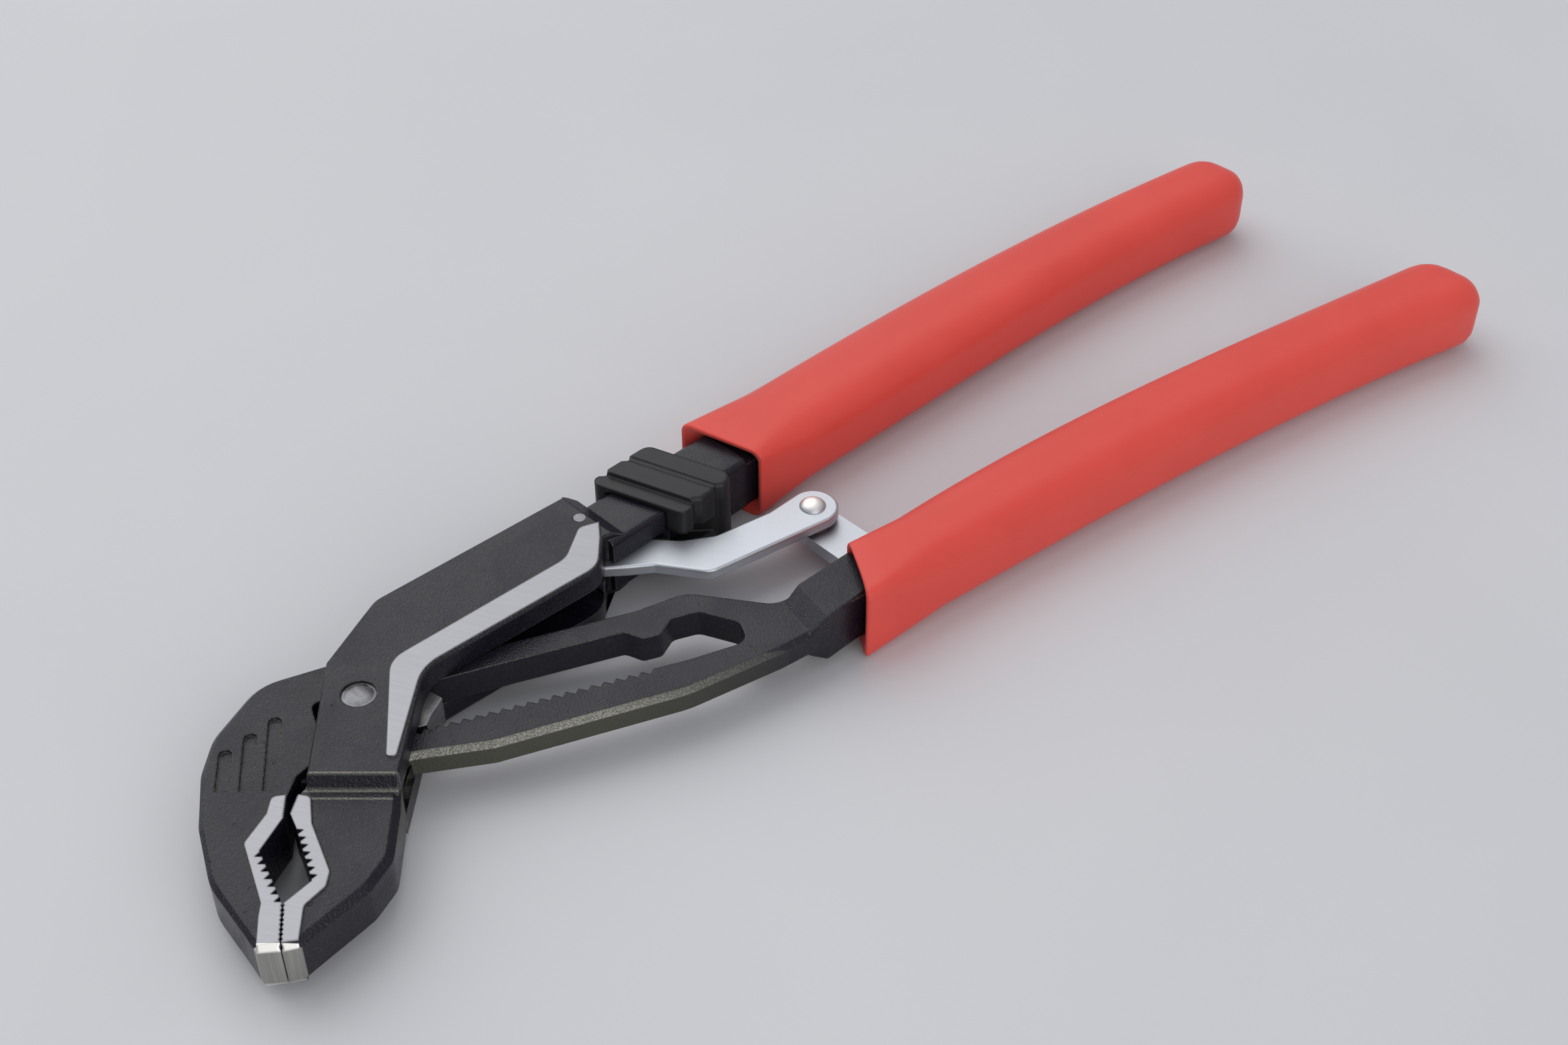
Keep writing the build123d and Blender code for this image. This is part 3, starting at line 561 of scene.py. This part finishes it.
# %% [markdown]
# ## Finish: dull bolt steel
#
# The pivot bolt, the pawl and the small pins are plain steel that was left oiled. It is metal, so
# the base colour is what it reflects. Where it sits in the levers it is darker, partly oil and partly
# painted shade.

# %% Material: bolt steel
bolt_steel, tree, shader = new_material("bolt_steel", Metallic=1.0)
grain = use_group(tree, grain_group, Grain_Size=0.3 * MM, Pit_Size=0.9 * MM)
marks = use_group(tree, marks_group, Patch_Size=3 * MM, Sharpness=0.2)
# darker in closed-in places: partly oil and partly painted shade
grime_shade = use_group(tree, grime_shade_group, Reach=1.2 * MM)
dull = blend_colour(tree, marks["Mask"], (0.10, 0.10, 0.105), (0.30, 0.30, 0.31))
feed(
    tree, shader,
    Base_Color=blend_colour(tree, grime_shade["Mask"], dull, (0.018, 0.017, 0.015)),
    Roughness=blend_value(tree, marks["Mask"], 0.34, 0.48),
    Normal=bump(tree, grain["Height"], 0.03 * MM),
)
print("material", bolt_steel.name, "nodes:", len(tree.nodes))

# %% [markdown]
# ## Finish: satin zinc plate
#
# The link, its washer and its lug are stamped and plated. Zinc is a little blue, bright, and much
# softer in its reflections than chrome, with a faint grain from the barrel it was plated in. The
# rivet is the same metal, and the press that set it left its domed heads smooth and bright. They
# are the zinc that lies furthest from the rivet's own middle, so the rivet's box finds them.

# %% Where the rivet's heads are
rivet_low, rivet_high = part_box("link_rivet")
rivet_middle = (rivet_low.z + rivet_high.z) / 2
rivet_half = (rivet_high.z - rivet_low.z) / 2
head_from = rivet_half - 0.75 * MM
head_to = rivet_half - 0.25 * MM
print("rivet heads, mm from its middle:", round(head_from / MM, 2), "to", round(head_to / MM, 2))

# %% Material: zinc plate
zinc, tree, shader = new_material("zinc_plate", Metallic=1.0)
grain = use_group(tree, grain_group, Grain_Size=0.25 * MM, Pit_Size=2.2 * MM)
marks = use_group(tree, marks_group, Patch_Size=7 * MM, Sharpness=0.3)
# darker grey in closed-in places: partly grime and partly painted shade
grime_shade = use_group(tree, grime_shade_group, Reach=1.2 * MM, Amount=0.6)
plated = blend_colour(tree, marks["Mask"], (0.54, 0.56, 0.60), (0.61, 0.63, 0.67))
height = apart(tree, object_place(tree))["Z"]
from_middle = math_node(tree, "ABSOLUTE", math_node(tree, "SUBTRACT", height, rivet_middle))
head = ramp(tree, from_middle, head_from, head_to)
plated = blend_colour(tree, head, plated, (0.93, 0.91, 0.86))
satin = blend_value(tree, marks["Mask"], 0.40, 0.50)
feed(
    tree, shader,
    Base_Color=blend_colour(tree, grime_shade["Mask"], plated, (0.16, 0.16, 0.17)),
    Roughness=blend_value(tree, head, satin, 0.50),
    Normal=bump(tree, grain["Height"], 0.012 * MM),
)
print("material", zinc.name, "nodes:", len(tree.nodes))

# %% [markdown]
# ## Finish: slider plastic
#
# The slider is glass filled nylon, black and satin. Its skin has a very fine spark texture from the
# mould. Its edges are softly rounded over a wide radius, and a thumb has polished them a little.

# %% Material: slider plastic
plastic, tree, shader = new_material("slider_plastic", Specular_IOR_Level=0.38)
grain = use_group(tree, grain_group, Grain_Size=0.22 * MM, Pit_Size=0.8 * MM)
marks = use_group(tree, marks_group, Patch_Size=5 * MM, Sharpness=0.2)
polish = use_group(tree, rounded_edge_group, Radius=0.8 * MM, Amount=0.8, Grit_Size=0.9 * MM)
satin = blend_value(tree, marks["Mask"], 0.34, 0.46)
feed(
    tree, shader,
    Base_Color=blend_colour(tree, marks["Mask"], (0.008, 0.008, 0.009), (0.014, 0.014, 0.016)),
    Roughness=blend_value(tree, polish["Mask"], satin, 0.26),
    Normal=bump(tree, grain["Height"], 0.02 * MM, under=polish["Rounded"]),
)
print("material", plastic.name, "nodes:", len(tree.nodes))

# %% [markdown]
# ## Finish: dipped vinyl grips
#
# The sleeves are thick red PVC: soft sheen, no grain to speak of, and a very slight waviness where
# the vinyl flowed over the steel. Sheen on the shader lifts the glancing edges as soft vinyl does.

# %% Material: grip vinyl
vinyl, tree, shader = new_material(
    "grip_vinyl", Specular_IOR_Level=0.42, Sheen_Weight=0.10, Sheen_Roughness=0.4
)
grain = use_group(tree, grain_group, Grain_Size=0.6 * MM, Pit_Size=5 * MM, Swell=1.5)
marks = use_group(tree, marks_group, Patch_Size=22 * MM, Sharpness=0.3)
feed(
    tree, shader,
    Base_Color=blend_colour(tree, marks["Mask"], (0.70, 0.060, 0.045), (0.78, 0.078, 0.058)),
    Roughness=blend_value(tree, marks["Mask"], 0.42, 0.54),
    Normal=bump(tree, grain["Height"], 0.012 * MM),
)
print("material", vinyl.name, "nodes:", len(tree.nodes))

# %% [markdown]
# ## Finishes onto the CAD nodes
#
# Every node came with a plain material named after its slot, so the new finish goes wherever that
# slot is used.

# %% Give every node its finish
finishes = {
    "forged_steel": steel,
    "bolt_steel": bolt_steel,
    "zinc_plate": zinc,
    "slider_plastic": plastic,
    "grip_vinyl": vinyl,
}
for name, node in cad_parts.items():
    for holder in node.material_slots:
        slot_name = holder.material.name.split(".")[0]
        holder.material = finishes[slot_name]
    print(f"{name}: {slot_name}")

# %% [markdown]
# ## Softened edges
#
# Nothing that is forged, stamped or moulded ends in a razor edge, and it is the thin highlight along
# a rounded edge that makes metal look solid. The CAD meshes keep a vertex for each face that meets
# there, so they are welded first. Flat stretches are then merged so that the bevel has clean edges
# to follow, and weighted normals keep the flats flat.


# %% Helper: soften a CAD node's edges
def soften(name, width):
    """Rounds every edge of a CAD node that turns by more than 28 degrees."""
    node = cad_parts[name]
    weld = node.modifiers.new("weld", "WELD")
    weld.merge_threshold = 0.002 * MM
    merge = node.modifiers.new("merge_flats", "DECIMATE")
    merge.decimate_type = "DISSOLVE"
    merge.angle_limit = math.radians(1.0)
    rounding = node.modifiers.new("round_edges", "BEVEL")
    rounding.width = width
    rounding.segments = 3
    rounding.limit_method = "ANGLE"
    rounding.angle_limit = math.radians(28)
    rounding.use_clamp_overlap = True
    rounding.miter_outer = "MITER_ARC"
    shade = node.modifiers.new("weighted_normals", "WEIGHTED_NORMAL")
    shade.keep_sharp = False
    shade.weight = 80
    evaluated = node.evaluated_get(bpy.context.evaluated_depsgraph_get())
    print(f"{name}: {len(node.data.polygons)} faces, softened {len(evaluated.data.polygons)}")


# %% Soften them, widths in mm
edge_widths = {
    "upper_lever": 0.35, "lower_lever": 0.35, "lock_slider": 0.25, "push_link": 0.2,
    "link_lug": 0.25, "link_washer": 0.15, "pawl": 0.15, "pivot_bolt": 0.12,
}
for name, width in edge_widths.items():
    soften(name, width * MM)

# %% [markdown]
# ## Grips: measuring the CAD
#
# A dipped grip is soft: its long edges are broad and round, its mouth stands a little off the steel
# with a thin rolled lip, and its end is a smooth bulb. A CAD solid with small fillets looks hard, so
# each grip is laid out here as rings of points along the handle. The rings take their widths from
# the CAD grip and the steel, measured by rays, so they follow both when the tool's size changes.


# %% Helper: measure a CAD node with rays
def hit(node, start, aim):
    """The first point of a CAD node on a ray from start, or None."""
    found, place, _, _ = node.ray_cast(Vector(start), Vector(aim))
    return place if found else None


def cross_range(node, x, z):
    """The lowest and highest y of a node at x and z."""
    reach = 0.2
    near = hit(node, (x, -reach, z), (0, 1, 0))
    far = hit(node, (x, reach, z), (0, -1, 0))
    return near.y, far.y


def steel_box(node, x):
    """The y range of a lever's steel at x, and how high it stands above the middle."""
    near, far = cross_range(node, x, middle)
    top = hit(node, (x, (near + far) / 2, 0.1), (0, 0, -1))
    return near, far, top.z - middle


def mouth_start(node, low_x, side_fit, inward):
    """Where a grip begins along one of its sides, whose y is given as a fitted curve."""
    most_steps = 400
    outside = 0.02
    for step in range(most_steps):
        x = low_x + step * 0.1 * MM
        place = hit(node, (low_x - outside, np.polyval(side_fit, x) + inward, middle), (1, 0, 0))
        if place and place.x <= x:
            return x
    return low_x


# %% [markdown]
# The sides of a grip are gentle curves, so a cubic is fitted through twelve measured places between
# the mouth and the bulb. The mouth is cut aslant, so it is looked for on both sides.


# %% Helper: what a sleeve has to fit
def measure_grip(name, lever):
    """Box, sides and mouth of the CAD grip called name, and the lever inside it."""
    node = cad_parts[name]
    low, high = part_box(name)
    spots = [low.x + (high.x - low.x) * share for share in np.linspace(0.09, 0.93, 12)]
    sides = [cross_range(node, x, middle) for x in spots]
    near_fit = np.polyfit(spots, [near for near, far in sides], 3)
    far_fit = np.polyfit(spots, [far for near, far in sides], 3)
    inside_far = -0.8 * MM
    inside_near = 0.3 * MM
    mouth_far = mouth_start(node, low.x, far_fit, inside_far)
    mouth_near = mouth_start(node, low.x, near_fit, inside_near)
    print(f"{name}: mouth from {mouth_near / MM:.1f} to {mouth_far / MM:.1f} mm along the handle")
    return {
        "low": low,
        "high": high,
        "half_z": (high.z - low.z) / 2,
        "near_fit": near_fit,
        "far_fit": far_fit,
        "mouth": (mouth_far + mouth_near) / 2,
        "slant": (mouth_far - mouth_near) / 2,
        "steel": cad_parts[lever],
    }


# %% [markdown]
# ## Grips: one ring
#
# Every ring is a rounded rectangle with the same number of points, so that rings can be joined one
# to the next. A point is kept as a share across, from -1 on the near side to 1 on the far side, and
# a height, because the width of the grip changes from ring to ring.


# %% Helper: the shape of a ring
def ring_shape(corner_y, corner_z, half_y, half_z):
    """Points of a rounded rectangle as (share across, height), starting at the far side."""
    corner_steps = 7
    side_steps = 4
    quarter = []
    for step in range(corner_steps + 1):
        angle = math.radians(90) * step / corner_steps
        y = half_y - corner_y * (1 - math.cos(angle))
        quarter.append((y, half_z - corner_z * (1 - math.sin(angle))))
    for step in range(1, side_steps):
        quarter.append(((half_y - corner_y) * (1 - step / side_steps), half_z))
    top = quarter + [(0.0, half_z)] + [(-y, z) for y, z in reversed(quarter)]
    straight = half_z - corner_z
    side = [(-half_y, straight * (1 - 2 * step / side_steps)) for step in range(1, side_steps)]
    half_ring = top + side
    return [(y / half_y, z) for y, z in half_ring + [(-y, -z) for y, z in half_ring]]


print("points in a ring:", len(ring_shape(3 * MM, 3 * MM, 8 * MM, 7 * MM)))

# %% [markdown]
# A ring of the sleeve follows the slanted mouth, and the slant dies out along the first 26 mm. The
# corners are tight at the mouth, where the lip is thin, and broad from 14 mm on. A ring can also be
# shrunk, which makes the lip and the round end.


# %% Helper: a ring of the sleeve
def sleeve_ring(grip, reach, shrink_y=0.0, shrink_z=0.0):
    """Ring of the sleeve at a distance from its mouth."""
    nominal_half = 8 * MM
    slant_length = 26 * MM
    rounding_length = 14 * MM
    first_x = grip["low"].x + 0.02 * MM
    half_z = grip["half_z"]
    slant = grip["slant"] * max(0.0, 1 - reach / slant_length) ** 2
    round_out = min(1.0, reach / rounding_length)
    corner_y = (2.0 + 3.6 * round_out) * MM
    corner_z = (1.8 + 2.8 * round_out) * MM
    points = []
    for share, z in ring_shape(corner_y, corner_z, nominal_half, half_z):
        x = max(grip["mouth"] + reach + slant * share, first_x)
        y_near = max(np.polyval(grip["near_fit"], x), grip["low"].y)
        y_far = min(np.polyval(grip["far_fit"], x), grip["high"].y)
        half_y = (y_far - y_near) / 2
        y = (y_near + y_far) / 2 + share * (half_y - shrink_y)
        points.append((x, y, middle + z * (half_z - shrink_z) / half_z))
    return points


# %% Helper: a ring round the steel
def steel_ring(grip, reach):
    """Ring round the steel, a hair away from it, and never outside the sleeve."""
    gap = 0.03 * MM
    thinnest = 0.2 * MM
    unit = 5 * MM
    corner = 1.2 * MM
    points = []
    for share, z in ring_shape(corner, corner, unit, unit):
        x = grip["mouth"] + reach + grip["slant"] * share
        y_near, y_far, steel_half = steel_box(grip["steel"], x)
        y_near = max(y_near - gap, np.polyval(grip["near_fit"], x) + thinnest)
        y_far = min(y_far + gap, np.polyval(grip["far_fit"], x) - thinnest)
        y = (y_near + y_far) / 2 + share * (y_far - y_near) / 2
        points.append((x, y, middle + z / unit * (steel_half + gap)))
    return points


# %% [markdown]
# ## Grips: the whole sleeve
#
# The rings run from inside the mouth, out over the rolled lip, down the handle and round the bulb.
# The lip and the bulb are quarter turns, so an angle in steps gives their rings. A subdivision
# surface could make soft forms too, but a dipped coating follows the steel closely, and rings keep
# that under control.


# %% Helper: all the rings of a sleeve
def sleeve_rings(grip):
    """Rings of a sleeve, from inside its mouth to the tip of its bulb."""
    length = grip["high"].x - grip["mouth"]
    lip = 0.4 * MM
    wall = 1.0 * MM
    bulb_y = 6.0 * MM
    bulb_z = 4.8 * MM
    body_rings = 30
    rings = [steel_ring(grip, 6 * MM), steel_ring(grip, 3 * MM), sleeve_ring(grip, 0.3 * MM, wall, wall)]
    for angle in (90, 60, 30, 0):
        turn = math.radians(angle)
        shrink = lip * (1 - math.cos(turn))
        rings.append(sleeve_ring(grip, lip * (1 - math.sin(turn)), shrink, shrink))
    for step in range(1, body_rings + 1):
        rings.append(sleeve_ring(grip, lip + (length - lip - bulb_y) * step / body_rings))
    for angle in (15, 30, 45, 60, 75, 90):
        turn = math.radians(angle)
        back = bulb_y * (1 - math.sin(turn))
        inward = 1 - math.cos(turn)
        rings.append(sleeve_ring(grip, length - back, bulb_y * inward, bulb_z * inward))
    return rings


# %% Helper: join rings into a mesh
def mesh_from_rings(name, rings):
    """A smooth mesh over rings of points, closed over the last ring, facing outwards."""
    count = len(rings[0])
    last = (len(rings) - 1) * count
    faces = []
    for start in range(0, last, count):
        for i in range(count):
            j = (i + 1) % count
            faces.append((start + i, start + count + i, start + count + j, start + j))
    faces.append(tuple(last + i for i in reversed(range(count))))
    mesh = bpy.data.meshes.new(name)
    mesh.from_pydata([point for ring in rings for point in ring], [], faces)
    mesh.validate()
    work = bmesh.new()
    work.from_mesh(mesh)
    bmesh.ops.recalc_face_normals(work, faces=work.faces)
    work.to_mesh(mesh)
    work.free()
    mesh.shade_smooth()
    mesh.set_sharp_from_angle(angle=math.radians(60))
    return mesh


# %% [markdown]
# Each sleeve takes the place of its CAD grip and rides on the body of the lever that it covers, so
# it moves with that lever in every pose.


# %% Build both grips
def build_grip(name, lever, body):
    """A smooth sleeve in place of the CAD grip called name, on the steel of the lever."""
    mesh = mesh_from_rings(name + "_soft", sleeve_rings(measure_grip(name, lever)))
    mesh.materials.append(vinyl)
    grip = bpy.data.objects.new(name + "_soft", mesh)
    bpy.context.scene.collection.objects.link(grip)
    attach(grip, body)
    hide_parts(name)
    print(f"{grip.name}: {len(mesh.polygons)} faces")


build_grip("upper_grip", "upper_lever", "fixed_lever")
build_grip("lower_grip", "lower_lever", "slotted_lever")

# %% [markdown]
# ## Floor
#
# The floor is plain and pale, so nothing competes with the tool. It lies a hair below the lowest
# face, so that the two never fight for the same place, and wide soft marks keep it from being one
# flat colour.

# %% Floor
floor_half = 6.0
floor_z = cad_low.z - 0.02 * MM
corner_signs = ((-1, -1), (1, -1), (1, 1), (-1, 1))
corners = [(x * floor_half, y * floor_half, floor_z) for x, y in corner_signs]
floor_mesh = bpy.data.meshes.new("floor")
floor_mesh.from_pydata(corners, [], [(0, 1, 2, 3)])
floor = bpy.data.objects.new("floor", floor_mesh)
bpy.context.scene.collection.objects.link(floor)
floor_paint, tree, shader = new_material("floor_paint", Specular_IOR_Level=0.3)
marks = use_group(tree, marks_group, Patch_Size=120 * MM, Sharpness=0.4)
feed(
    tree, shader,
    Base_Color=blend_colour(tree, marks["Mask"], (0.60, 0.60, 0.62), (0.66, 0.66, 0.68)),
    Roughness=blend_value(tree, marks["Mask"], 0.50, 0.60),
)
floor_mesh.materials.append(floor_paint)
print("floor at, mm:", round(floor_z / MM, 2))

# %% [markdown]
# ## Light
#
# One very large soft lamp hangs behind and above, as a window would, and a weaker one fills the near
# side. The world gives the rest, brighter above than at the horizon. Together they light a colour to
# about the value it is written with.


# %% Lamps
def soft_lamp(name, place, target, size, power):
    """A square area lamp at place, aimed at target."""
    lamp = bpy.data.lights.new(name, "AREA")
    lamp.size = size
    lamp.energy = power
    holder = bpy.data.objects.new(name, lamp)
    holder.location = place
    holder.rotation_euler = (Vector(target) - Vector(place)).to_track_quat("-Z", "Y").to_euler()
    bpy.context.scene.collection.objects.link(holder)


centre = (cad_low + cad_high) / 2
soft_lamp("window", centre + Vector((0.1, 1.1, 1.25)), centre, 2.2, 18.5)
soft_lamp("fill", centre + Vector((-0.5, -1.5, 0.6)), centre, 1.6, 13.0)

# %% World
world = bpy.data.worlds.new("studio")
bpy.context.scene.world = world
world.use_nodes = True
sky = world.node_tree
up = apart(sky, put(sky, "TexCoord").outputs["Generated"])["Z"]
air = blend_colour(sky, ramp(sky, up, -0.05, 0.9), (0.30, 0.31, 0.33), (0.88, 0.90, 0.94))
sky.links.new(air, sky.nodes["Background"].inputs["Color"])
sky.nodes["Background"].inputs["Strength"].default_value = 0.62
bpy.context.scene.view_settings.view_transform = "Standard"
print("world:", world.name)
